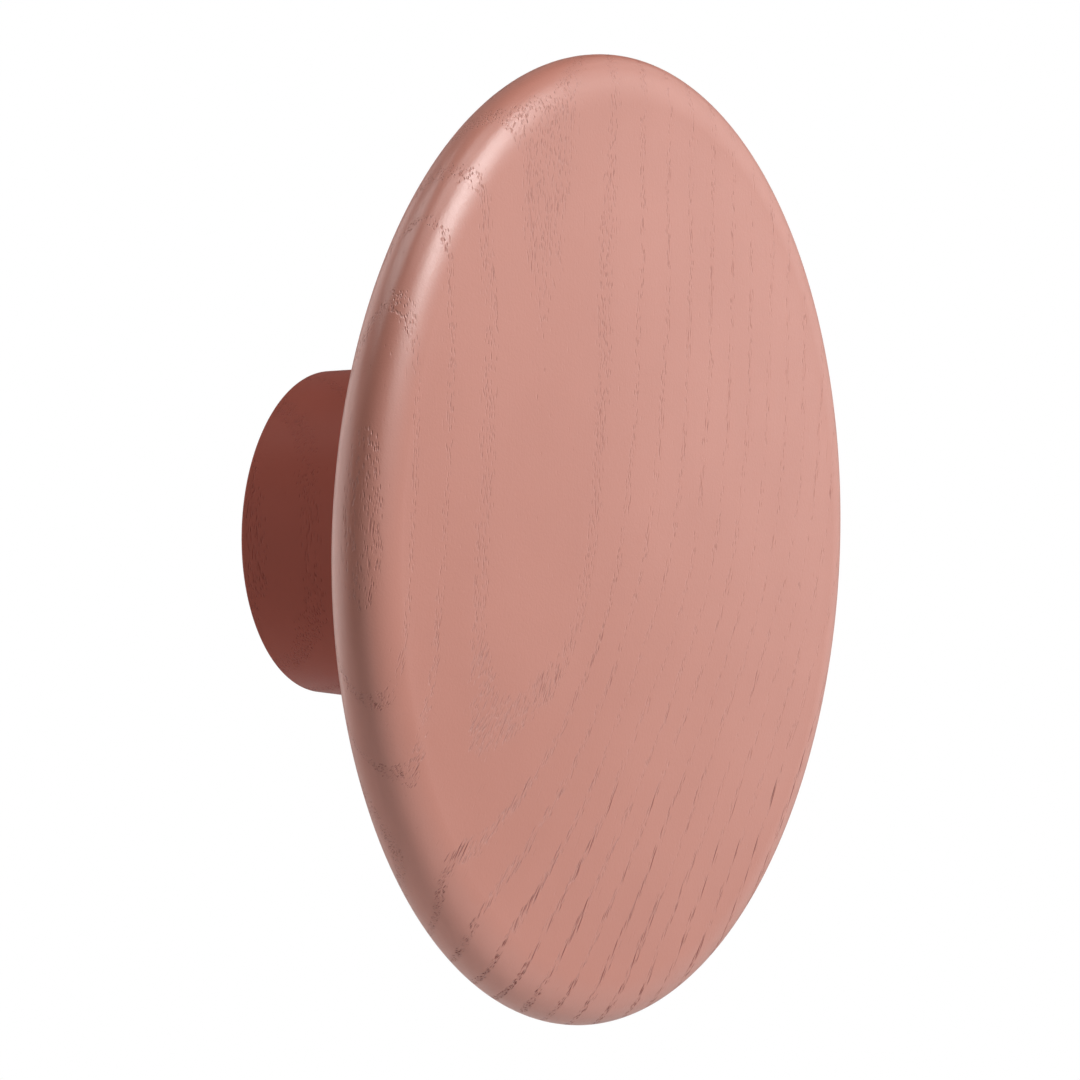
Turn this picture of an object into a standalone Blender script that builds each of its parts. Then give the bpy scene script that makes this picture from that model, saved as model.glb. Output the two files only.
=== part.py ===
"""Turned wall coat hook: a wide wooden disc on a short stem that screws onto a bolt in the wall.

Units are metres. The origin is the centre of the stem's back face, which rests on the wall.
-Y points out of the wall, +Y into it, +Z up, and +X to the right as seen from the front.

Every piece is turned about the same axis. Its half section is drawn in its own XZ plane, with
local Z measured out of the wall, a Screw modifier turns it about local Z, and a quarter turn
about X lays local Z along -Y.
"""

import math

import bmesh
import bpy

# Overall size
HEAD_RADIUS = 0.085          # a 170 mm disc
HOOK_DEPTH = 0.0619          # wall to the edge of the front face
HEAD_THICKNESS = 0.0118
FACE_CROWN = 0.0020          # how far the middle of the face stands ahead of its edge

# Rolled rim of the head
FRONT_EDGE_REACH = 0.0092    # how far the front rounding runs in across the face
FRONT_EDGE_DROP = 0.0055     # how far it runs back along the rim
BACK_EDGE_REACH = 0.0076     # the same for the back rounding
BACK_EDGE_DROP = 0.0062

# Stem, with a tenon glued into the back of the head
STEM_BACK_RADIUS = 0.0287
STEM_FRONT_RADIUS = 0.0322
STEM_EDGE_RADIUS = 0.0006
TENON_RADIUS = 0.0140
TENON_LENGTH = 0.0075
TENON_CHAMFER = 0.0008

# Stepped bore in the back of the stem: a wide mouth, the insert's seat, then room for the bolt
MOUTH_RADIUS = 0.0090
MOUTH_DEPTH = 0.0030
SEAT_LENGTH = 0.0156
BOLT_ROOM_RADIUS = 0.0048
BORE_DEPTH = 0.0290

# Threaded insert, M8 inside, coarse wood thread outside
INSERT_LENGTH = 0.0150
INSERT_CREST_RADIUS = 0.0065
INSERT_ROOT_RADIUS = 0.0056
INSERT_BORE_RADIUS = 0.0043
INSERT_THREAD_PITCH = 0.0025
DRIVE_SLOT_WIDTH = 0.0016
DRIVE_SLOT_DEPTH = 0.0022

# Hanger bolt: an M8 machine thread out of the wall, a wood-screw thread into the wall
MACHINE_END = 0.0240
MACHINE_CREST_RADIUS = 0.0040
MACHINE_ROOT_RADIUS = 0.0034
MACHINE_PITCH = 0.00125
MACHINE_CHAMFER = 0.0010
SHANK_BACK = -0.0040
WOOD_END = -0.0430
WOOD_CREST_RADIUS = 0.0038
WOOD_ROOT_RADIUS = 0.0027
WOOD_PITCH = 0.0030
WOOD_TAPER_LENGTH = 0.0090

# Wall plug: a split nylon sleeve with barbs, and a thin collar on the wall's surface
PLUG_RADIUS = 0.0060
PLUG_BARB = 0.0006
PLUG_BARB_PITCH = 0.0040
PLUG_BARBED_FROM = -0.0100
PLUG_BARB_COUNT = 8
PLUG_LENGTH = 0.0500
PLUG_BORE_RADIUS = 0.0041
PLUG_BORE_END = -0.0460
PLUG_TIP_RADIUS = 0.0040
PLUG_COLLAR_RADIUS = 0.0075
PLUG_COLLAR_THICKNESS = 0.0009
PLUG_SLIT_WIDTH = 0.0010
PLUG_SLIT_START = -0.0120
PLUG_SLIT_END = -0.0420
PLUG_FIN_HEIGHT = 0.0012
PLUG_FIN_WIDTH = 0.0012
PLUG_FIN_LENGTH = 0.0080

GLUE_GAP = 0.0003            # left between two pieces that touch

# Facets around the axis, and along the rounded edges
WIDE_STEPS = 80
SMALL_STEPS = 20
CROWN_SEGMENTS = 4
FRONT_EDGE_SEGMENTS = 8
BACK_EDGE_SEGMENTS = 6
STEM_EDGE_SEGMENTS = 4
MERGE_DISTANCE = 0.00001

# Finishes: colour, roughness and metallic
HEAD_PAINT = ((0.46, 0.19, 0.14), 0.32, 0.0)
STEM_PAINT = ((0.40, 0.14, 0.10), 0.32, 0.0)
INSERT_BRASS = ((0.72, 0.50, 0.20), 0.30, 1.0)
BOLT_STEEL = ((0.62, 0.63, 0.62), 0.30, 1.0)
PLUG_NYLON = ((0.40, 0.41, 0.43), 0.50, 0.0)

COLLECTION_NAME = "turned_wall_coat_hook"
CUTTER_COLLECTION_NAME = "cutters"
SHARP_ANGLE = math.radians(35)
STAND_UP = (math.radians(90), 0.0, 0.0)

HEAD_BACK = HOOK_DEPTH - HEAD_THICKNESS
MORTISE_RADIUS = TENON_RADIUS + GLUE_GAP
MORTISE_DEPTH = TENON_LENGTH
SEAT_RADIUS = INSERT_CREST_RADIUS + GLUE_GAP


def clear_scene():
    for old_object in list(bpy.data.objects):
        bpy.data.objects.remove(old_object, do_unlink=True)


def make_collection(name):
    collection = bpy.data.collections.new(name)
    bpy.context.scene.collection.children.link(collection)
    return collection


def make_material(name, colour, roughness, metallic):
    material = bpy.data.materials.new(name)
    material.use_nodes = True
    shader = material.node_tree.nodes["Principled BSDF"]
    shader.inputs["Base Color"].default_value = (*colour, 1.0)
    shader.inputs["Roughness"].default_value = roughness
    shader.inputs["Metallic"].default_value = metallic
    material.diffuse_color = (*colour, 1.0)
    return material


def arc(centre, reach, start_degrees, end_degrees, segments):
    """Points along part of an ellipse, given as (radius, height) pairs."""
    points = []
    for index in range(segments + 1):
        angle = math.radians(start_degrees + (end_degrees - start_degrees) * index / segments)
        radius = centre[0] + reach[0] * math.cos(angle)
        height = centre[1] + reach[1] * math.sin(angle)
        points.append((radius, height))
    return points


def ridges(top, bottom, pitch, crest_radius, root_radius):
    """A thread's section between two heights: root, crest, root, once for each pitch."""
    count = int((top - bottom) / pitch)
    points = [(root_radius, top)]
    for index in range(count):
        crest_height = top - (index + 0.5) * pitch
        root_height = top - (index + 1) * pitch
        points.append((crest_radius, crest_height))
        points.append((root_radius, root_height))
    return points


def apply_modifiers(target):
    """Swap an object's mesh for the one that its modifiers make."""
    depsgraph = bpy.context.evaluated_depsgraph_get()
    base_mesh = target.data
    target.data = bpy.data.meshes.new_from_object(target.evaluated_get(depsgraph))
    target.data.name = target.name
    target.modifiers.clear()
    bpy.data.meshes.remove(base_mesh)


def turn(name, profile, steps, closed, collection, material):
    """A solid of revolution from a half section that runs down its outer side."""
    mesh = bpy.data.meshes.new(name)
    section = bmesh.new()
    vertices = [section.verts.new((radius, 0.0, height)) for radius, height in profile]
    for first, second in zip(vertices, vertices[1:]):
        section.edges.new((first, second))
    if closed:
        section.edges.new((vertices[-1], vertices[0]))
    section.to_mesh(mesh)
    section.free()

    turned = bpy.data.objects.new(name, mesh)
    turned.rotation_euler = STAND_UP
    turned.data.materials.append(material)
    collection.objects.link(turned)

    screw = turned.modifiers.new("Turn", "SCREW")
    screw.axis = "Z"
    screw.angle = math.tau
    screw.steps = steps
    screw.render_steps = steps
    screw.use_merge_vertices = True
    screw.merge_threshold = MERGE_DISTANCE
    apply_modifiers(turned)
    turned.data.shade_smooth()
    turned.data.set_sharp_from_angle(angle=SHARP_ANGLE)
    return turned


def box_cutter(name, size, centre, collection):
    """A box in the pieces' own frame, used only to cut or to join."""
    bpy.ops.mesh.primitive_cube_add(size=1.0)
    box = bpy.context.active_object
    box.name = name
    for old_collection in list(box.users_collection):
        old_collection.objects.unlink(box)
    collection.objects.link(box)
    box.rotation_euler = STAND_UP
    box.location = (centre[0], -centre[2], centre[1])
    box.scale = size
    box.hide_render = True
    box.display_type = "WIRE"
    return box


def apply_boolean(target, tool, operation):
    boolean = target.modifiers.new(operation.title(), "BOOLEAN")
    boolean.object = tool
    boolean.operation = operation
    boolean.solver = "EXACT"


def head_disc(collection):
    face_radius = HEAD_RADIUS - FRONT_EDGE_REACH
    profile = []
    for index in range(CROWN_SEGMENTS):
        share = index / CROWN_SEGMENTS
        profile.append((face_radius * share, HOOK_DEPTH + FACE_CROWN * (1.0 - share ** 2)))
    front_centre = (face_radius, HOOK_DEPTH - FRONT_EDGE_DROP)
    front_reach = (FRONT_EDGE_REACH, FRONT_EDGE_DROP)
    profile += arc(front_centre, front_reach, 90, 0, FRONT_EDGE_SEGMENTS)
    back_centre = (HEAD_RADIUS - BACK_EDGE_REACH, HEAD_BACK + BACK_EDGE_DROP)
    back_reach = (BACK_EDGE_REACH, BACK_EDGE_DROP)
    profile += arc(back_centre, back_reach, 0, -90, BACK_EDGE_SEGMENTS)[1:]
    profile += [
        (MORTISE_RADIUS, HEAD_BACK),
        (MORTISE_RADIUS, HEAD_BACK + MORTISE_DEPTH),
        (0.0, HEAD_BACK + MORTISE_DEPTH),
    ]
    paint = make_material("head_paint", *HEAD_PAINT)
    return turn("head_disc", profile, WIDE_STEPS, False, collection, paint)


def stem(collection):
    shoulder = HEAD_BACK - GLUE_GAP
    tenon_end = shoulder + TENON_LENGTH
    profile = [
        (0.0, tenon_end),
        (TENON_RADIUS - TENON_CHAMFER, tenon_end),
        (TENON_RADIUS, tenon_end - TENON_CHAMFER),
        (TENON_RADIUS, shoulder),
        (STEM_FRONT_RADIUS, shoulder),
    ]
    edge_centre = (STEM_BACK_RADIUS - STEM_EDGE_RADIUS, STEM_EDGE_RADIUS)
    edge_reach = (STEM_EDGE_RADIUS, STEM_EDGE_RADIUS)
    profile += arc(edge_centre, edge_reach, 0, -90, STEM_EDGE_SEGMENTS)
    seat_end = MOUTH_DEPTH + SEAT_LENGTH
    profile += [
        (MOUTH_RADIUS, 0.0),
        (MOUTH_RADIUS, MOUTH_DEPTH),
        (SEAT_RADIUS, MOUTH_DEPTH),
        (SEAT_RADIUS, seat_end),
        (BOLT_ROOM_RADIUS, seat_end),
        (BOLT_ROOM_RADIUS, BORE_DEPTH),
        (0.0, BORE_DEPTH),
    ]
    paint = make_material("stem_paint", *STEM_PAINT)
    return turn("stem", profile, WIDE_STEPS, False, collection, paint)


def threaded_insert(collection, cutters):
    back = MOUTH_DEPTH + GLUE_GAP
    front = back + INSERT_LENGTH
    profile = ridges(front, back, INSERT_THREAD_PITCH, INSERT_CREST_RADIUS, INSERT_ROOT_RADIUS)
    profile += [(INSERT_BORE_RADIUS, back), (INSERT_BORE_RADIUS, front)]
    brass = make_material("insert_brass", *INSERT_BRASS)
    insert = turn("threaded_insert", profile, SMALL_STEPS, True, collection, brass)
    slot_length = 3.0 * INSERT_CREST_RADIUS
    slot_size = (slot_length, DRIVE_SLOT_WIDTH, 2.0 * DRIVE_SLOT_DEPTH)
    slot = box_cutter("drive_slot_cutter", slot_size, (0.0, 0.0, back), cutters)
    apply_boolean(insert, slot, "DIFFERENCE")
    return insert


def hanger_bolt(collection):
    thread_top = MACHINE_END - MACHINE_CHAMFER
    profile = [(0.0, MACHINE_END), (MACHINE_ROOT_RADIUS - MACHINE_CHAMFER, MACHINE_END)]
    profile += ridges(thread_top, 0.0, MACHINE_PITCH, MACHINE_CREST_RADIUS, MACHINE_ROOT_RADIUS)
    profile.append((MACHINE_ROOT_RADIUS, SHANK_BACK + MACHINE_PITCH))
    taper_start = WOOD_END + WOOD_TAPER_LENGTH
    profile += ridges(SHANK_BACK, taper_start, WOOD_PITCH, WOOD_CREST_RADIUS, WOOD_ROOT_RADIUS)
    profile.append((0.0, WOOD_END))
    steel = make_material("bolt_steel", *BOLT_STEEL)
    return turn("hanger_bolt", profile, SMALL_STEPS, False, collection, steel)


def wall_plug(collection, cutters):
    profile = [
        (0.0, PLUG_BORE_END),
        (PLUG_BORE_RADIUS, PLUG_BORE_END),
        (PLUG_BORE_RADIUS, PLUG_COLLAR_THICKNESS),
        (PLUG_COLLAR_RADIUS, PLUG_COLLAR_THICKNESS),
        (PLUG_COLLAR_RADIUS, 0.0),
        (PLUG_RADIUS, 0.0),
    ]
    for index in range(PLUG_BARB_COUNT):
        height = PLUG_BARBED_FROM - index * PLUG_BARB_PITCH
        profile.append((PLUG_RADIUS, height))
        profile.append((PLUG_RADIUS + PLUG_BARB, height))
    profile.append((PLUG_RADIUS, PLUG_BARBED_FROM - PLUG_BARB_COUNT * PLUG_BARB_PITCH))
    profile += [(PLUG_TIP_RADIUS, -PLUG_LENGTH), (0.0, -PLUG_LENGTH)]
    nylon = make_material("plug_nylon", *PLUG_NYLON)
    plug = turn("wall_plug", profile, SMALL_STEPS, False, collection, nylon)

    slit_length = PLUG_SLIT_START - PLUG_SLIT_END
    slit_middle = 0.5 * (PLUG_SLIT_START + PLUG_SLIT_END)
    slit_reach = 4.0 * PLUG_RADIUS
    slit_size = (slit_reach, PLUG_SLIT_WIDTH, slit_length)
    slit = box_cutter("plug_slit_cutter", slit_size, (0.0, 0.0, slit_middle), cutters)
    apply_boolean(plug, slit, "DIFFERENCE")

    for side in (-1, 1):
        fin_size = (2.0 * PLUG_FIN_HEIGHT, PLUG_FIN_WIDTH, PLUG_FIN_LENGTH)
        fin_centre = (side * PLUG_RADIUS, 0.0, -0.5 * PLUG_FIN_LENGTH)
        fin = box_cutter(f"plug_fin_{'left' if side < 0 else 'right'}", fin_size, fin_centre, cutters)
        apply_boolean(plug, fin, "UNION")
    return plug


def make_empty(name, collection, parent):
    empty = bpy.data.objects.new(name, None)
    empty.empty_display_size = HEAD_RADIUS
    empty.parent = parent
    collection.objects.link(empty)
    return empty


def main():
    clear_scene()
    parts = make_collection(COLLECTION_NAME)
    cutters = make_collection(CUTTER_COLLECTION_NAME)

    wall_plug(parts, cutters)
    hanger_bolt(parts)

    # Unscrewing moves the insert out along the bolt, and turns the wooden hook as it goes.
    travel = make_empty("screw_travel", parts, None)
    turning = make_empty("screw_turn", parts, travel)
    threaded_insert(parts, cutters).parent = travel
    stem(parts).parent = turning
    head_disc(parts).parent = turning


main()
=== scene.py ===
"""Looks for the turned wall coat hook: fine turned surfaces, painted open-pored ash, metal and nylon."""

import math

import bmesh
import bpy
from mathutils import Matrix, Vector


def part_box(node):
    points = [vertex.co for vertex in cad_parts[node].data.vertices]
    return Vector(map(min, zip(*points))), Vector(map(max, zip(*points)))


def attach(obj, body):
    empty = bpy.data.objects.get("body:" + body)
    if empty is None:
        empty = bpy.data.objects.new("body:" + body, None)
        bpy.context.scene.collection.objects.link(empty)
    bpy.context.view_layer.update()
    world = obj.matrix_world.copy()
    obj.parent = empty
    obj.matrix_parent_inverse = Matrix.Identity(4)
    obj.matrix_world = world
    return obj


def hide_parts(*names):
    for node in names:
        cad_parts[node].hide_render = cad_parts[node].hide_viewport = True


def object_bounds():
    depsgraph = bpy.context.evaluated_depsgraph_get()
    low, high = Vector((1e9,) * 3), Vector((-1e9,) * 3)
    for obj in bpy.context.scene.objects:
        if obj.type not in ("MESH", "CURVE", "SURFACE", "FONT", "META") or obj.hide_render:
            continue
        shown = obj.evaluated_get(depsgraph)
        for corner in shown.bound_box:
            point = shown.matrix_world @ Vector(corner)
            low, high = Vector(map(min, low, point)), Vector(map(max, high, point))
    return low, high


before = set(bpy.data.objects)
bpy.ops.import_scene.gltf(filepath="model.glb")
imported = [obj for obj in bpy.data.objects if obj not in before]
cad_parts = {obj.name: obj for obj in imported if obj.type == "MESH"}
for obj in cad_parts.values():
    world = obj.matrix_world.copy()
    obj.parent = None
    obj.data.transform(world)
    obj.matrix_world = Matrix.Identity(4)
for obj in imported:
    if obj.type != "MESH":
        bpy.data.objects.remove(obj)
CAD_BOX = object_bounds()

MM = 0.001
SHARP_ANGLE = math.radians(30)

# Camera: where it stands round the hook, how far off, and the point that it looks at
CAMERA_AZIMUTH = -60.0
CAMERA_ELEVATION = 3.08
CAMERA_DISTANCE = 1.46
CAMERA_LENS = 275.7
CAMERA_SENSOR = 36.0
CAMERA_CENTRE = Vector((0.0, -35.0 * MM, 0.0))
CAMERA_AIM_RIGHT = 8.0 * MM
CAMERA_AIM_UP = -0.56 * MM

# Head and stem. The CAD boxes give the outer sizes here and below.
HEAD_LOW, HEAD_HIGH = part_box("head_disc")
STEM_LOW, STEM_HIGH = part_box("stem")
HEAD_RADIUS = HEAD_HIGH.x
HEAD_FRONT = -HEAD_LOW.y
HEAD_BACK = -HEAD_HIGH.y
FACE_CROWN = 2.0 * MM
RIM_FRONT = HEAD_FRONT - FACE_CROWN
RIM_REACH = 9.2 * MM
RIM_DROP = 5.5 * MM
RIM_POWER = 2.1
BACK_EDGE_REACH = 7.6 * MM
BACK_EDGE_DROP = 6.2 * MM
STEM_FRONT_RADIUS = STEM_HIGH.x
STEM_BACK_RADIUS = 28.7 * MM
STEM_EDGE_RADIUS = 0.6 * MM
STEM_END = HEAD_BACK - 0.02 * MM
MOUTH_RADIUS = 9.0 * MM
MOUTH_DEPTH = 3.0 * MM
SEAT_RADIUS = 6.8 * MM
SEAT_END = 18.6 * MM
BOLT_ROOM_RADIUS = 4.8 * MM
BORE_END = 29.0 * MM

# Facets round the axis, along the crown and along the rounded edges
TURNED_STEPS = 256
THREAD_STEPS = 72
CROWN_STEPS = 24
FRONT_EDGE_STEPS = 28
BACK_EDGE_STEPS = 16
STEM_EDGE_STEPS = 8
COLLAR_EDGE_STEPS = 6
BARB_EDGE_STEPS = 4
TIP_EDGE_STEPS = 6
AXIS_RADIUS = 0.0001 * MM        # a profile point closer to the axis than this is on it

# Hanger bolt: machine thread, plain neck and wood thread. A thread's crest share is the part of
# its pitch that the flat crest fills, and its rows are the steps drawn along one pitch.
BOLT_OUT = -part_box("hanger_bolt")[0].y
BOLT_IN = -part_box("hanger_bolt")[1].y
MACHINE_PITCH = 1.25 * MM
MACHINE_ROOT_RADIUS = 3.4 * MM
MACHINE_DEPTH = 0.6 * MM
MACHINE_CREST_SHARE = 0.14
MACHINE_ROWS = 10
MACHINE_CHAMFER = 1.0 * MM
NECK_END = -4.0 * MM
WOOD_PITCH = 3.0 * MM
WOOD_ROOT_RADIUS = 2.7 * MM
WOOD_DEPTH = 1.1 * MM
WOOD_CREST_SHARE = 0.04
WOOD_SHARPNESS = 2.6             # how much narrower its ridge is than the gap between ridges
WOOD_ROWS = 18
WOOD_TIP_RADIUS = 0.3 * MM
WOOD_TAPER = 9.0 * MM

# Threaded insert
INSERT_OUT = -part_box("threaded_insert")[0].y
INSERT_IN = -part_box("threaded_insert")[1].y
INSERT_PITCH = 2.5 * MM
INSERT_ROOT_RADIUS = 5.6 * MM
INSERT_DEPTH = 0.9 * MM
INSERT_CREST_SHARE = 0.10
INSERT_BORE_RADIUS = 4.35 * MM
BORE_THREAD_DEPTH = 0.2 * MM
BORE_ROWS = 8
DRIVE_SLOT_WIDTH = 1.6 * MM
DRIVE_SLOT_DEPTH = 2.2 * MM

# Wall plug
PLUG_IN = -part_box("wall_plug")[1].y
PLUG_COLLAR_THICKNESS = -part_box("wall_plug")[0].y
PLUG_COLLAR_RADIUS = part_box("wall_plug")[1].z
PLUG_COLLAR_EDGE = 0.5 * MM
PLUG_SOFT_EDGE = 0.2 * MM
PLUG_RADIUS = 6.0 * MM
PLUG_BORE_RADIUS = 4.1 * MM
PLUG_BORE_END = -46.0 * MM
PLUG_TIP_RADIUS = 4.0 * MM
PLUG_TIP_EDGE = 1.2 * MM
PLUG_BARB = 0.6 * MM
PLUG_BARB_PITCH = 4.0 * MM
PLUG_BARBED_FROM = -10.0 * MM
PLUG_BARB_COUNT = 8
PLUG_SLIT_WIDTH = 1.0 * MM
PLUG_SLIT_START = -12.0 * MM
PLUG_SLIT_END = -42.0 * MM
PLUG_FIN_HEIGHT = 1.2 * MM
PLUG_FIN_WIDTH = 1.2 * MM
PLUG_FIN_LENGTH = 8.0 * MM

# Colours, and how strongly the paint shines
HEAD_COLOUR = (0.464, 0.186, 0.140)
# The stem has the head's paint. Its colour here is that paint darkened: painted shade for the shade that the
# head casts on the stem.
STEM_SHADED_COLOUR = (0.300, 0.078, 0.056)
BRASS_COLOUR = (0.72, 0.50, 0.20)
ZINC_COLOUR = (0.62, 0.63, 0.62)
NYLON_COLOUR = (0.40, 0.41, 0.43)
FLOOR_COLOUR = (0.72, 0.72, 0.72, 1.0)
WHITE = (1.0, 1.0, 1.0, 1.0)
HEAD_GLOSS = 0.65
# Kept near nought, so that the stem shows almost no sheen, to go with its painted shade
STEM_GLOSS = 0.05
BRASS_ROUGHNESS = 0.26
ZINC_ROUGHNESS = 0.28
GRIME_DARKENING = 0.72
GRIME_ROUGHNESS = 0.15
NYLON_PALING = 1.12
NYLON_ROUGHNESS = (0.48, 0.58)

# Stage
STAGE_SIZE = 12.0
FLOOR_DROP = 0.3                 # from the head's lowest point
FLOOR_GLOW_STARTS = 300.0        # in millimetres from the axis
FLOOR_GLOW_FULL = 1500.0
WALL_GAP = 0.4 * MM              # the wall stands this far behind the stem's back
BACKDROP_BRIGHTNESS = 0.85       # the world and the far floor, as the camera sees them
WORLD_BRIGHTNESS = 0.01          # the world, as the pieces see it

# Softboxes: name, azimuth, elevation, width and height in degrees, and brightness
LIGHT_DISTANCE = 1.4
SOFTBOXES = (
    ("key", 26.0, 31.0, 28.0, 24.0, 10.2),
    ("key_spread", 20.0, 22.0, 60.0, 46.0, 1.3),
    ("above_front", 5.0, 64.0, 30.0, 20.0, 3.6),
    ("right", 80.0, 12.0, 36.0, 60.0, 0.75),
    ("right_near", 66.0, 10.0, 16.0, 30.0, 1.2),
    ("left_front", -40.0, 0.0, 30.0, 50.0, 0.47),
    ("above_left", -140.0, 62.0, 40.0, 30.0, 3.0),
    ("left_behind", -150.0, 0.0, 40.0, 50.0, 1.5),
    ("behind", 174.0, 8.0, 44.0, 60.0, 1.3),
    ("behind_right", 140.0, 20.0, 40.0, 60.0, 0.13),
)


def direction(azimuth, elevation):
    """Unit vector towards a place, from the hook: azimuth 0 is in front, and 90 is on the right."""
    turn, rise = math.radians(azimuth), math.radians(elevation)
    return Vector((math.sin(turn) * math.cos(rise), -math.cos(turn) * math.cos(rise), math.sin(rise)))


class Graph:
    """Short names for the nodes that a material is built from."""

    def __init__(self, name):
        self.material = bpy.data.materials.new(name)
        self.material.use_nodes = True
        self.tree = self.material.node_tree
        self.shader = self.tree.nodes["Principled BSDF"]

    def put(self, value, socket):
        if isinstance(value, bpy.types.NodeSocket):
            self.tree.links.new(value, socket)
        else:
            socket.default_value = value

    def math(self, operation, *values):
        node = self.tree.nodes.new("ShaderNodeMath")
        node.operation = operation
        for value, socket in zip(values, node.inputs):
            self.put(value, socket)
        return node.outputs[0]

    def step(self, value, low, high, start=0.0, end=1.0):
        """Eases from start to end as value goes from low to high."""
        node = self.tree.nodes.new("ShaderNodeMapRange")
        node.interpolation_type = "SMOOTHSTEP"
        for item, socket in zip((value, low, high, start, end), node.inputs):
            self.put(item, socket)
        return node.outputs[0]

    def position(self):
        """X, Y and Z in the object's own frame, in millimetres."""
        coordinates = self.tree.nodes.new("ShaderNodeTexCoord")
        split = self.tree.nodes.new("ShaderNodeSeparateXYZ")
        self.put(coordinates.outputs["Object"], split.inputs[0])
        return [self.math("MULTIPLY", output, 1.0 / MM) for output in split.outputs]

    def vector(self, x, y, z):
        node = self.tree.nodes.new("ShaderNodeCombineXYZ")
        for value, socket in zip((x, y, z), node.inputs):
            self.put(value, socket)
        return node.outputs[0]

    def noise(self, vector, scale=1.0, detail=2.0, roughness=0.5):
        node = self.tree.nodes.new("ShaderNodeTexNoise")
        self.put(vector, node.inputs["Vector"])
        node.inputs["Scale"].default_value = scale
        node.inputs["Detail"].default_value = detail
        node.inputs["Roughness"].default_value = roughness
        return node.outputs["Fac"]

    def cells(self, vector):
        """Distance to the nearest scattered point, and a random number for that point."""
        node = self.tree.nodes.new("ShaderNodeTexVoronoi")
        self.put(vector, node.inputs["Vector"])
        node.inputs["Scale"].default_value = 1.0
        split = self.tree.nodes.new("ShaderNodeSeparateColor")
        self.put(node.outputs["Color"], split.inputs[0])
        return node.outputs["Distance"], split.outputs[0]

    def mix(self, factor, first, second):
        node = self.tree.nodes.new("ShaderNodeMix")
        node.data_type = "RGBA"
        self.put(factor, node.inputs["Factor"])
        self.put(first, node.inputs["A"])
        self.put(second, node.inputs["B"])
        return node.outputs["Result"]

    def bump(self, height_mm):
        node = self.tree.nodes.new("ShaderNodeBump")
        node.inputs["Strength"].default_value = 1.0
        node.inputs["Distance"].default_value = MM
        self.put(height_mm, node.inputs["Height"])
        self.put(node.outputs[0], self.shader.inputs["Normal"])

    def ramp_up(self, value, width):
        """Nought well below 0 and value well above it, with a bend this wide between."""
        square = self.math("MULTIPLY", value, value)
        root = self.math("SQRT", self.math("ADD", square, width * width))
        return self.math("MULTIPLY", self.math("ADD", value, root), 0.5)


# Painted ash, in millimetres. The rings are tubes round a pith line. The head's pith runs up
# behind its face, leans away to the lower left and sinks deeper there, so the rings close in a
# long U on the face.
HEAD_PITH = (-30.5, 33.0 + HEAD_LOW.y / MM)
STEM_PITH = (-53.0, 17.0)
HEAD_FIRST_RING = 38.0
STEM_FIRST_RING = 40.0
HEAD_RING_SPACING = 7.0
STEM_RING_SPACING = 8.5
# The fibres' lean on the left and on the right, where the left one eases, and how the pith sinks:
# the height that each starts below, how gently, and its slope
LEFT_LEAN = (-18.0, 12.0, 0.90)
RIGHT_LEAN = (-2.0, 22.0, 0.56)
LEAN_EASES = (-52.0, 8.0, 0.28)
SINKING = (-12.0, 6.0, 0.34)
TILT = 0.06
LEFT_SIDE_ENDS = -45.0           # the lean goes over from left to right between here and the middle
RING_WANDER = 0.55               # in rings
FIRST_RING_WIDTH = 0.24          # half the open-pored band, as a share of the ring, near the pith
LATER_RING_WIDTH = 0.14          # and further out

# Pores: width and length of a pore's cell, in millimetres
COARSE_PORE = (0.50, 3.2)
SMALL_PORE = (0.38, 1.5)
LONG_PORE = (0.52, 7.5)
STRAY_COARSE = 0.01              # chance of a pore away from the rings
STRAY_SMALL = 0.015
# Heights and sideways places between which the pores open up, the long ones come in, and the
# small ones thin out
LOW_HEIGHTS = (5.0, -70.0)
LOW_PLACES = (60.0, 0.0)
LONG_HEIGHTS = (-22.0, -78.0)
LONG_PLACES = (-66.0, -40.0)
THINNING_PLACES = (5.0, 45.0)

# Relief, in millimetres, and what a pore does to the paint: its pit is darkened to a deep red-brown, which
# is painted shade in the pit
PORE_DEPTH = 0.17
SMALL_PORE_DEPTH = 0.09
PEEL_HEIGHT = 0.030
FIBRE_HEIGHT = 0.008
PORE_SHADE = 0.85
SMALL_PORE_SHADE = 0.22
PORE_ROUGHNESS = 0.5
PORE_PAINTED_SHADE_COLOUR = (0.36, 0.06, 0.03)
PALE_TINT = (1.04, 1.06, 1.07)
PAINT_ROUGHNESS = (0.33, 0.38)


def below(g, z, start, bend, slope):
    """A line that is level above the start height and climbs with this slope below it."""
    return g.math("MULTIPLY", g.ramp_up(g.math("SUBTRACT", start, z), bend), slope)


def head_grain(g, x, z):
    """How far the fibres have shifted to the left at this height, and how far the pith has sunk."""
    left = g.math("SUBTRACT", below(g, z, *LEFT_LEAN), below(g, z, *LEAN_EASES))
    right = below(g, z, *RIGHT_LEAN)
    share = g.step(x, LEFT_SIDE_ENDS, 0.0)
    lean = g.math("ADD", left, g.math("MULTIPLY", g.math("SUBTRACT", right, left), share))
    return g.math("SUBTRACT", lean, g.math("MULTIPLY", z, TILT)), below(g, z, *SINKING)


def pores(g, across, y, z, size, chance):
    """Long thin pits along the fibres: 1 in the middle of a pit, 0 between pits."""
    width, length = size
    distance, lot = g.cells(g.vector(
        g.math("DIVIDE", across, width), g.math("DIVIDE", y, width), g.math("DIVIDE", z, length)))
    there = g.step(g.math("SUBTRACT", chance, lot), -0.02, 0.06)
    return g.math("MULTIPLY", g.step(distance, 0.10, 0.46, 1.0, 0.0), there)


def tinted(colour, tint):
    return (*(channel * share for channel, share in zip(colour, tint)), 1.0)


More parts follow.
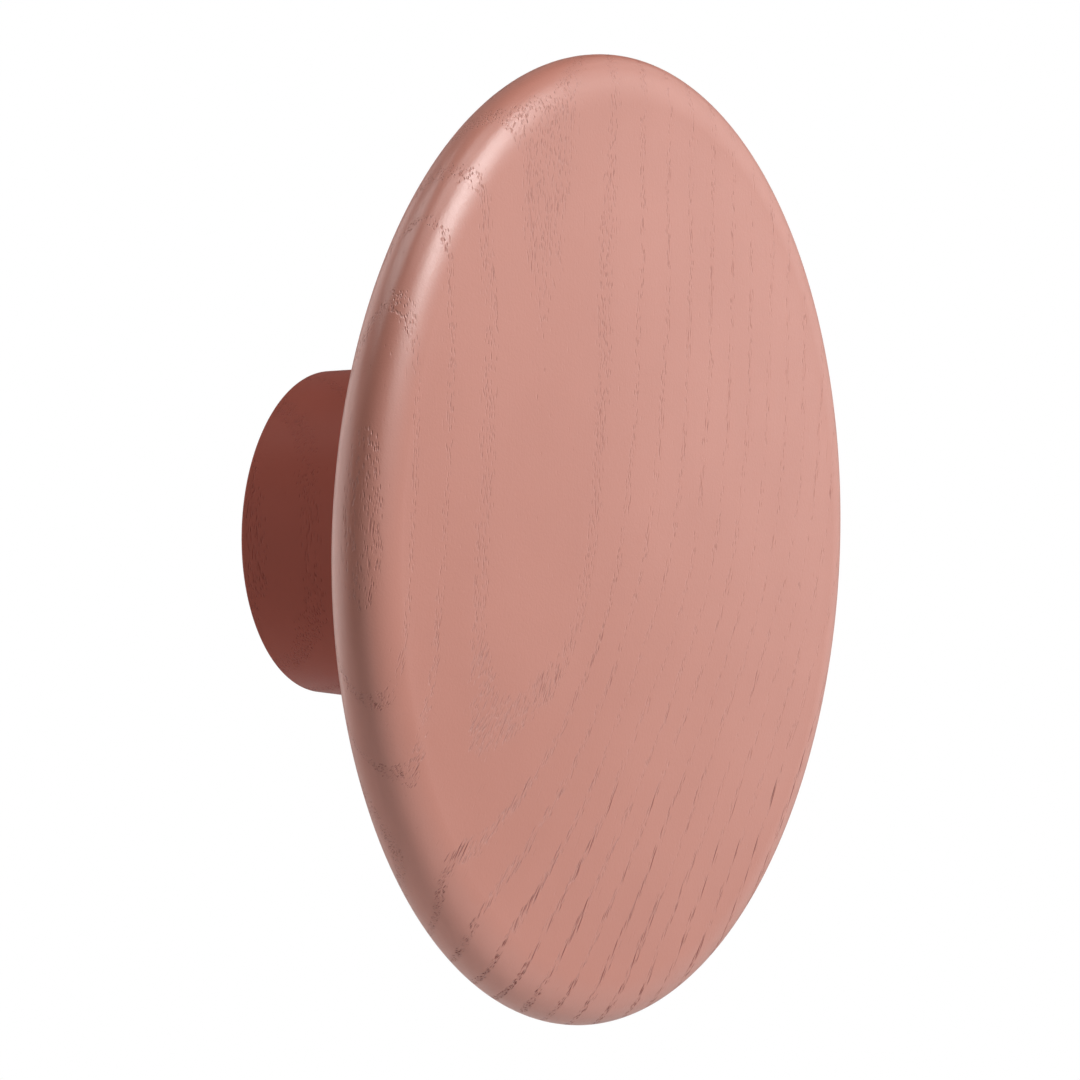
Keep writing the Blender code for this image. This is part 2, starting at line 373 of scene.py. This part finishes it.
def ring_band(g, across, y, z, pith, sunk, first_ring, spacing):
    """1 on the open-pored start of a year's ring, 0 on the rest of it."""
    sideways = g.math("SUBTRACT", across, pith[0])
    behind = g.math("SUBTRACT", g.math("SUBTRACT", y, pith[1]), sunk)
    square = g.math("ADD", g.math("MULTIPLY", sideways, sideways), g.math("MULTIPLY", behind, behind))
    rings = g.math("DIVIDE", g.math("SUBTRACT", g.math("SQRT", square), first_ring), spacing)
    wander = g.noise(g.vector(across, y, g.math("MULTIPLY", z, 0.4)), 0.07, 3.0)
    wander = g.math("MULTIPLY", g.math("SUBTRACT", wander, 0.5), RING_WANDER)
    rings = g.math("ADD", rings, wander)
    off_ring = g.math("ABSOLUTE", g.math("SUBTRACT", g.math("FRACT", g.math("ADD", rings, 0.5)), 0.5))
    wide = g.step(rings, 0.4, 0.8, FIRST_RING_WIDTH, LATER_RING_WIDTH)
    return g.step(g.math("DIVIDE", off_ring, wide), 0.4, 1.0, 1.0, 0.0)


def ash_pores(g, early, x, across, y, z):
    """The large pores and the small ones. They come and go along a ring, and open up low down."""
    along = g.noise(g.vector(g.math("MULTIPLY", across, 0.25), y, g.math("MULTIPLY", z, 0.10)), 1.0, 2.0)
    low = g.math("MULTIPLY", g.step(z, *LOW_HEIGHTS), g.step(x, *LOW_PLACES, 0.6, 1.0))
    kept = g.math("ADD", g.step(along, 0.40, 0.60, 0.10, 1.0), g.math("MULTIPLY", low, 0.5))
    kept = g.math("MULTIPLY", early, kept)
    opened = g.math("ADD", g.step(along, 0.42, 0.72, 0.10, 0.45), g.math("MULTIPLY", low, 0.45))
    chance = g.math("ADD", g.math("MULTIPLY", kept, 0.95), STRAY_COARSE)
    coarse = pores(g, across, y, z, COARSE_PORE, chance)
    lowest = g.math("MULTIPLY", g.step(z, *LONG_HEIGHTS), g.step(x, *LONG_PLACES, 0.0, 0.85))
    long = pores(g, across, y, z, LONG_PORE, g.math("MULTIPLY", early, lowest))
    crowding = g.math("MULTIPLY", early, g.step(x, *THINNING_PLACES, 0.85, 0.5))
    small = pores(g, across, y, z, SMALL_PORE, g.math("ADD", crowding, STRAY_SMALL))
    return g.math("MAXIMUM", g.math("MULTIPLY", coarse, opened), long), small


def painted_ash(name, colour, gloss, pith, first_ring, spacing, grain=None):
    g = Graph(name)
    g.shader.inputs["Specular IOR Level"].default_value = gloss
    x, y, z = g.position()
    shift, sunk = grain(g, x, z) if grain else (0.0, 0.0)
    across = g.math("ADD", x, shift)
    early = ring_band(g, across, y, z, pith, sunk, first_ring, spacing)
    pits, small = ash_pores(g, early, x, across, y, z)

    peel = g.noise(g.vector(x, y, z), 2.0, 3.0, 0.6)
    fibre = g.noise(g.vector(across, y, g.math("MULTIPLY", z, 0.08)), 1.8, 2.0)
    height = g.math("MULTIPLY", pits, -PORE_DEPTH)
    height = g.math("ADD", height, g.math("MULTIPLY", small, -SMALL_PORE_DEPTH))
    height = g.math("ADD", height, g.math("MULTIPLY", peel, PEEL_HEIGHT))
    height = g.math("ADD", height, g.math("MULTIPLY", fibre, FIBRE_HEIGHT))
    g.bump(height)

    mottle = g.noise(g.vector(x, y, z), 0.03, 2.0)
    paint = g.mix(g.step(mottle, 0.3, 0.7), (*colour, 1.0), tinted(colour, PALE_TINT))
    # Painted shade: the pits, large and small, are darkened towards a deep red-brown, as if shade falls in
    # them.
    shade = g.math("MULTIPLY", pits, PORE_SHADE)
    shade = g.math("MAXIMUM", shade, g.math("MULTIPLY", small, SMALL_PORE_SHADE))
    g.put(g.mix(shade, paint, tinted(colour, PORE_PAINTED_SHADE_COLOUR)), g.shader.inputs["Base Color"])
    satin = g.step(peel, 0.3, 0.7, *PAINT_ROUGHNESS)
    rough = g.math("ADD", satin, g.math("MULTIPLY", shade, PORE_ROUGHNESS))
    g.put(rough, g.shader.inputs["Roughness"])
    return g.material


def worn_metal(name, colour, roughness):
    g = Graph(name)
    x, y, z = g.position()
    grime = g.noise(g.vector(x, y, z), 0.5, 4.0, 0.6)
    darker = tinted(colour, [GRIME_DARKENING] * 3)
    g.put(g.mix(g.step(grime, 0.35, 0.7), (*colour, 1.0), darker), g.shader.inputs["Base Color"])
    g.put(g.step(grime, 0.3, 0.7, roughness, roughness + GRIME_ROUGHNESS), g.shader.inputs["Roughness"])
    g.shader.inputs["Metallic"].default_value = 1.0
    g.bump(g.math("MULTIPLY", g.noise(g.vector(x, y, z), 4.0, 2.0), 0.004))
    return g.material


def moulded_nylon(name, colour):
    g = Graph(name)
    x, y, z = g.position()
    cloud = g.noise(g.vector(x, y, z), 0.4, 3.0)
    paler = tinted(colour, [NYLON_PALING] * 3)
    g.put(g.mix(cloud, (*colour, 1.0), paler), g.shader.inputs["Base Color"])
    g.put(g.step(cloud, 0.3, 0.7, *NYLON_ROUGHNESS), g.shader.inputs["Roughness"])
    g.bump(g.math("MULTIPLY", g.noise(g.vector(x, y, z), 6.0, 2.0), 0.006))
    return g.material


def arc(centre, reach, start_degrees, end_degrees, segments, power=2.0):
    """Points along part of an ellipse, or of a squarer one where power is over 2."""
    points = []
    for index in range(segments + 1):
        angle = math.radians(start_degrees + (end_degrees - start_degrees) * index / segments)
        across, up = math.cos(angle), math.sin(angle)
        across = math.copysign(abs(across) ** (2.0 / power), across)
        up = math.copysign(abs(up) ** (2.0 / power), up)
        points.append((centre[0] + reach[0] * across, centre[1] + reach[1] * up))
    return points


def finish_piece(name, mesh, body, node, material):
    mesh.shade_smooth()
    mesh.set_sharp_from_angle(angle=SHARP_ANGLE)
    mesh.materials.append(material)
    piece = bpy.data.objects.new(name, mesh)
    bpy.context.scene.collection.objects.link(piece)
    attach(piece, body)
    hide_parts(node)
    return piece


def turned_mesh(name, profile, steps, thread=None, closed=False):
    """Turns a profile about the Y axis. It gives radius and distance out of the wall, in metres.

    A thread is a function that changes a point's radius by its distance out and its share of a turn.
    """
    shape = bmesh.new()
    rows = []
    for radius, out in profile:
        if radius < AXIS_RADIUS:
            rows.append([shape.verts.new((0.0, -out, 0.0))])
            continue
        ring = []
        for index in range(steps):
            reach = thread(radius, out, index / steps) if thread else radius
            angle = math.tau * index / steps
            ring.append(shape.verts.new((reach * math.cos(angle), -out, reach * math.sin(angle))))
        rows.append(ring)
    following = rows[1:] + (rows[:1] if closed else [])
    for upper, lower in zip(rows, following):
        for index in range(steps):
            after = (index + 1) % steps
            if len(upper) == 1:
                shape.faces.new((upper[0], lower[after], lower[index]))
            elif len(lower) == 1:
                shape.faces.new((upper[index], upper[after], lower[0]))
            else:
                shape.faces.new((upper[index], upper[after], lower[after], lower[index]))
    bmesh.ops.recalc_face_normals(shape, faces=shape.faces)
    mesh = bpy.data.meshes.new(name)
    shape.to_mesh(mesh)
    shape.free()
    return mesh


def with_box(mesh, size, centre, operation):
    """The mesh with a box cut out of it or joined to it."""
    bpy.ops.mesh.primitive_cube_add(size=1.0, location=centre)
    box = bpy.context.active_object
    box.scale = size
    blank = bpy.data.objects.new("blank", mesh)
    bpy.context.scene.collection.objects.link(blank)
    boolean = blank.modifiers.new("box", "BOOLEAN")
    boolean.object = box
    boolean.operation = operation
    boolean.solver = "EXACT"
    depsgraph = bpy.context.evaluated_depsgraph_get()
    result = bpy.data.meshes.new_from_object(blank.evaluated_get(depsgraph))
    bpy.data.objects.remove(blank)
    bpy.data.objects.remove(box)
    return result


def turned_head():
    face_radius = HEAD_RADIUS - RIM_REACH
    profile = []
    for index in range(CROWN_STEPS):
        share = index / CROWN_STEPS
        profile.append((face_radius * share, RIM_FRONT + FACE_CROWN * (1.0 - share ** 2)))
    front_centre = (face_radius, RIM_FRONT - RIM_DROP)
    profile += arc(front_centre, (RIM_REACH, RIM_DROP), 90, 0, FRONT_EDGE_STEPS, RIM_POWER)
    back_centre = (HEAD_RADIUS - BACK_EDGE_REACH, HEAD_BACK + BACK_EDGE_DROP)
    profile += arc(back_centre, (BACK_EDGE_REACH, BACK_EDGE_DROP), 0, -90, BACK_EDGE_STEPS)[1:]
    profile += [(STEM_FRONT_RADIUS, HEAD_BACK), (0.0, HEAD_BACK)]
    material = painted_ash(
        "painted_ash_head", HEAD_COLOUR, HEAD_GLOSS,
        HEAD_PITH, HEAD_FIRST_RING, HEAD_RING_SPACING, head_grain)
    mesh = turned_mesh("turned_head", profile, TURNED_STEPS)
    return finish_piece("turned_head", mesh, "hook", "head_disc", material)


def turned_stem():
    profile = [(0.0, STEM_END), (STEM_FRONT_RADIUS, STEM_END)]
    edge_centre = (STEM_BACK_RADIUS - STEM_EDGE_RADIUS, STEM_EDGE_RADIUS)
    profile += arc(edge_centre, (STEM_EDGE_RADIUS, STEM_EDGE_RADIUS), 0, -90, STEM_EDGE_STEPS)
    profile += [
        (MOUTH_RADIUS, 0.0),
        (MOUTH_RADIUS, MOUTH_DEPTH),
        (SEAT_RADIUS, MOUTH_DEPTH),
        (SEAT_RADIUS, SEAT_END),
        (BOLT_ROOM_RADIUS, SEAT_END),
        (BOLT_ROOM_RADIUS, BORE_END),
        (0.0, BORE_END),
    ]
    # The stem's colour is painted shade: the head's paint, darkened.
    material = painted_ash(
        "painted_ash_stem", STEM_SHADED_COLOUR, STEM_GLOSS, STEM_PITH, STEM_FIRST_RING, STEM_RING_SPACING)
    mesh = turned_mesh("turned_stem", profile, TURNED_STEPS)
    return finish_piece("turned_stem", mesh, "hook", "stem", material)


def held(value, low, high):
    return max(low, min(high, value))


def thread_wave(out, turn, pitch, crest_share):
    """0 in a helical thread's root and 1 on its crest, which fills this share of the pitch."""
    phase = (out / pitch - turn) % 1.0
    slope = (1.0 - crest_share) / 2.0
    return held((0.5 - abs(phase - 0.5)) / slope, 0.0, 1.0)


def bolt_thread(radius, out, turn):
    """The hanger bolt's radius: a machine thread out of the wall, a plain neck, a wood thread in it."""
    if out > 0.0:
        run_out = held(out / MACHINE_PITCH, 0.0, 1.0)
        wave = thread_wave(out, turn, MACHINE_PITCH, MACHINE_CREST_SHARE) * run_out
        chamfer = MACHINE_ROOT_RADIUS - MACHINE_CHAMFER + (BOLT_OUT - out)
        return min(MACHINE_ROOT_RADIUS + MACHINE_DEPTH * wave, chamfer)
    if out > NECK_END:
        return MACHINE_ROOT_RADIUS
    taper = held((out - BOLT_IN) / WOOD_TAPER, 0.0, 1.0)
    run_in = held((NECK_END - out) / WOOD_PITCH, 0.0, 1.0)
    core = WOOD_TIP_RADIUS + (WOOD_ROOT_RADIUS - WOOD_TIP_RADIUS) * taper
    core += (MACHINE_ROOT_RADIUS - WOOD_ROOT_RADIUS) * (1.0 - run_in)
    wave = thread_wave(out, turn, WOOD_PITCH, WOOD_CREST_SHARE)
    sharp = held(WOOD_SHARPNESS * wave - (WOOD_SHARPNESS - 1.0), 0.0, 1.0)
    return core + WOOD_DEPTH * sharp * run_in * taper


def threaded_bolt():
    step = MACHINE_PITCH / MACHINE_ROWS
    outs = [BOLT_OUT - step * index for index in range(int(BOLT_OUT / step))]
    outs += [0.0, NECK_END / 2.0]
    step = WOOD_PITCH / WOOD_ROWS
    outs += [NECK_END - step * index for index in range(int((NECK_END - BOLT_IN) / step))]
    profile = [(0.0, BOLT_OUT)]
    profile += [(MACHINE_ROOT_RADIUS, out) for out in outs]
    profile.append((0.0, BOLT_IN))
    mesh = turned_mesh("threaded_bolt", profile, THREAD_STEPS, bolt_thread)
    material = worn_metal("zinc_steel", ZINC_COLOUR, ZINC_ROUGHNESS)
    return finish_piece("threaded_bolt", mesh, "wall_fixing", "hanger_bolt", material)


def insert_thread(radius, out, turn):
    """The insert's outer wood thread and its inner machine thread."""
    end_distance = min(out - INSERT_IN, INSERT_OUT - out)
    fade = held(end_distance / (0.5 * INSERT_PITCH), 0.0, 1.0)
    if radius > INSERT_BORE_RADIUS + MACHINE_DEPTH:
        wave = thread_wave(out, turn, INSERT_PITCH, INSERT_CREST_SHARE)
        return INSERT_ROOT_RADIUS + INSERT_DEPTH * wave * fade
    wave = thread_wave(out, turn, MACHINE_PITCH, MACHINE_CREST_SHARE)
    return INSERT_BORE_RADIUS - BORE_THREAD_DEPTH * wave * fade


def brass_insert():
    length = INSERT_OUT - INSERT_IN
    count = int(length / (MACHINE_PITCH / BORE_ROWS))
    outs = [INSERT_OUT - length * index / count for index in range(count + 1)]
    profile = [(INSERT_ROOT_RADIUS, out) for out in outs]
    profile += [(INSERT_BORE_RADIUS, out) for out in reversed(outs)]
    mesh = turned_mesh("brass_insert", profile, THREAD_STEPS, insert_thread, closed=True)
    slot_size = (3.0 * INSERT_ROOT_RADIUS, 2.0 * DRIVE_SLOT_DEPTH, DRIVE_SLOT_WIDTH)
    mesh = with_box(mesh, slot_size, (0.0, -INSERT_IN, 0.0), "DIFFERENCE")
    material = worn_metal("brass", BRASS_COLOUR, BRASS_ROUGHNESS)
    return finish_piece("brass_insert", mesh, "insert", "threaded_insert", material)


def ribbed_plug():
    profile = [
        (0.0, PLUG_BORE_END),
        (PLUG_BORE_RADIUS, PLUG_BORE_END),
        (PLUG_BORE_RADIUS, PLUG_COLLAR_THICKNESS - PLUG_SOFT_EDGE),
        (PLUG_BORE_RADIUS + PLUG_SOFT_EDGE, PLUG_COLLAR_THICKNESS),
    ]
    edge_centre = (PLUG_COLLAR_RADIUS - PLUG_COLLAR_EDGE, PLUG_COLLAR_THICKNESS - PLUG_COLLAR_EDGE)
    profile += arc(edge_centre, (PLUG_COLLAR_EDGE, PLUG_COLLAR_EDGE), 90, 0, COLLAR_EDGE_STEPS)
    profile += [(PLUG_COLLAR_RADIUS, 0.0), (PLUG_RADIUS, 0.0)]
    for index in range(PLUG_BARB_COUNT):
        out = PLUG_BARBED_FROM - index * PLUG_BARB_PITCH
        profile.append((PLUG_RADIUS, out))
        barb_centre = (PLUG_RADIUS + PLUG_BARB - PLUG_SOFT_EDGE, out - PLUG_SOFT_EDGE)
        profile += arc(barb_centre, (PLUG_SOFT_EDGE, PLUG_SOFT_EDGE), 90, 0, BARB_EDGE_STEPS)
    profile.append((PLUG_RADIUS, PLUG_BARBED_FROM - PLUG_BARB_COUNT * PLUG_BARB_PITCH))
    tip_centre = (PLUG_TIP_RADIUS - PLUG_TIP_EDGE, PLUG_IN + PLUG_TIP_EDGE)
    profile += arc(tip_centre, (PLUG_TIP_EDGE, PLUG_TIP_EDGE), 0, -90, TIP_EDGE_STEPS)
    profile.append((0.0, PLUG_IN))
    mesh = turned_mesh("ribbed_plug", profile, THREAD_STEPS)
    slit_length = PLUG_SLIT_START - PLUG_SLIT_END
    slit_centre = (0.0, -0.5 * (PLUG_SLIT_START + PLUG_SLIT_END), 0.0)
    slit_size = (4.0 * PLUG_RADIUS, slit_length, PLUG_SLIT_WIDTH)
    mesh = with_box(mesh, slit_size, slit_centre, "DIFFERENCE")
    for side in (-1.0, 1.0):
        fin_size = (2.0 * PLUG_FIN_HEIGHT, PLUG_FIN_LENGTH, PLUG_FIN_WIDTH)
        fin_centre = (side * PLUG_RADIUS, 0.5 * PLUG_FIN_LENGTH, 0.0)
        mesh = with_box(mesh, fin_size, fin_centre, "UNION")
    material = moulded_nylon("grey_nylon", NYLON_COLOUR)
    return finish_piece("ribbed_plug", mesh, "wall_fixing", "wall_plug", material)


def stage_plane(name, height, behind, tilt, material):
    bpy.ops.mesh.primitive_plane_add(
        size=STAGE_SIZE, location=(0.0, behind, height), rotation=(tilt, 0.0, 0.0))
    made = bpy.context.active_object
    made.name = name
    made.data.materials.append(material)
    return made


def floor_paint():
    """A matt grey that lights the hook from below. Far off, the camera sees it as pale as the world."""
    g = Graph("pale_floor")
    x, y, z = g.position()
    speckle = g.noise(g.vector(x, y, z), 0.01, 3.0)
    g.put(g.step(speckle, 0.0, 1.0, 0.75, 0.85), g.shader.inputs["Roughness"])
    g.shader.inputs["Base Color"].default_value = FLOOR_COLOUR
    far = g.math("SQRT", g.math("ADD", g.math("MULTIPLY", x, x), g.math("MULTIPLY", y, y)))
    glow = g.step(far, FLOOR_GLOW_STARTS, FLOOR_GLOW_FULL, 0.0, BACKDROP_BRIGHTNESS)
    seen = g.tree.nodes.new("ShaderNodeLightPath").outputs["Is Camera Ray"]
    g.put(g.math("MULTIPLY", seen, glow), g.shader.inputs["Emission Strength"])
    g.shader.inputs["Emission Color"].default_value = WHITE
    return g.material


def wall_paint():
    """A one-sided backdrop: white on its front, and clear on its back, so that the wall plug shows there."""
    material = bpy.data.materials.new("white_wall")
    material.use_nodes = True
    tree = material.node_tree
    tree.nodes.clear()
    side = tree.nodes.new("ShaderNodeNewGeometry")
    glow = tree.nodes.new("ShaderNodeEmission")
    glow.inputs["Color"].default_value = WHITE
    clear = tree.nodes.new("ShaderNodeBsdfTransparent")
    either = tree.nodes.new("ShaderNodeMixShader")
    tree.links.new(side.outputs["Backfacing"], either.inputs[0])
    tree.links.new(glow.outputs[0], either.inputs[1])
    tree.links.new(clear.outputs[0], either.inputs[2])
    output = tree.nodes.new("ShaderNodeOutputMaterial")
    tree.links.new(either.outputs[0], output.inputs[0])
    return material


def make_stage():
    stage_plane("pale_floor", CAD_BOX[0].z - FLOOR_DROP, 0.0, 0.0, floor_paint())
    wall = stage_plane("white_wall", 0.0, WALL_GAP, math.radians(90), wall_paint())
    wall.visible_diffuse = False
    wall.visible_glossy = False
    wall.visible_shadow = False
    wall.visible_transmission = False


def softbox(name, azimuth, elevation, width, height, brightness):
    """A plain rectangular light facing the hook. Its size is the angle it fills as the hook sees it.

    Its brightness is per unit of area, so a light's size doesn't change how bright it looks.
    """
    light = bpy.data.lights.new(name, "AREA")
    light.shape = "RECTANGLE"
    light.size = 2.0 * LIGHT_DISTANCE * math.tan(math.radians(width) / 2.0)
    light.size_y = 2.0 * LIGHT_DISTANCE * math.tan(math.radians(height) / 2.0)
    light.energy = brightness * math.pi * light.size * light.size_y
    lamp = bpy.data.objects.new(name, light)
    bpy.context.scene.collection.objects.link(lamp)
    away = direction(azimuth, elevation)
    lamp.location = Vector((0.0, HEAD_LOW.y, 0.0)) + away * LIGHT_DISTANCE
    lamp.rotation_euler = (-away).to_track_quat("-Z", "Y").to_euler()


def make_lights():
    world = bpy.data.worlds.new("studio")
    bpy.context.scene.world = world
    world.use_nodes = True
    background = world.node_tree.nodes["Background"]
    background.inputs["Color"].default_value = WHITE
    seen = world.node_tree.nodes.new("ShaderNodeLightPath")
    strength = world.node_tree.nodes.new("ShaderNodeMath")
    strength.operation = "MULTIPLY_ADD"
    strength.inputs[1].default_value = BACKDROP_BRIGHTNESS
    strength.inputs[2].default_value = WORLD_BRIGHTNESS
    world.node_tree.links.new(seen.outputs["Is Camera Ray"], strength.inputs[0])
    world.node_tree.links.new(strength.outputs[0], background.inputs["Strength"])
    for name, *place in SOFTBOXES:
        softbox(name, *place)


def make_camera():
    camera = bpy.data.objects.new("camera", bpy.data.cameras.new("camera"))
    bpy.context.scene.collection.objects.link(camera)
    camera.data.lens = CAMERA_LENS
    camera.data.sensor_width = CAMERA_SENSOR
    back = direction(CAMERA_AZIMUTH, CAMERA_ELEVATION)
    right = Vector((0.0, 0.0, 1.0)).cross(back).normalized()
    up = back.cross(right)
    aim = CAMERA_CENTRE + right * CAMERA_AIM_RIGHT + up * CAMERA_AIM_UP
    camera.location = aim + back * CAMERA_DISTANCE
    camera.rotation_euler = (-back).to_track_quat("-Z", "Y").to_euler()
    camera.data.clip_end = 50.0
    bpy.context.scene.camera = camera


turned_head()
turned_stem()
brass_insert()
threaded_bolt()
ribbed_plug()
make_stage()
make_lights()
make_camera()
bpy.context.scene.view_settings.view_transform = "Standard"
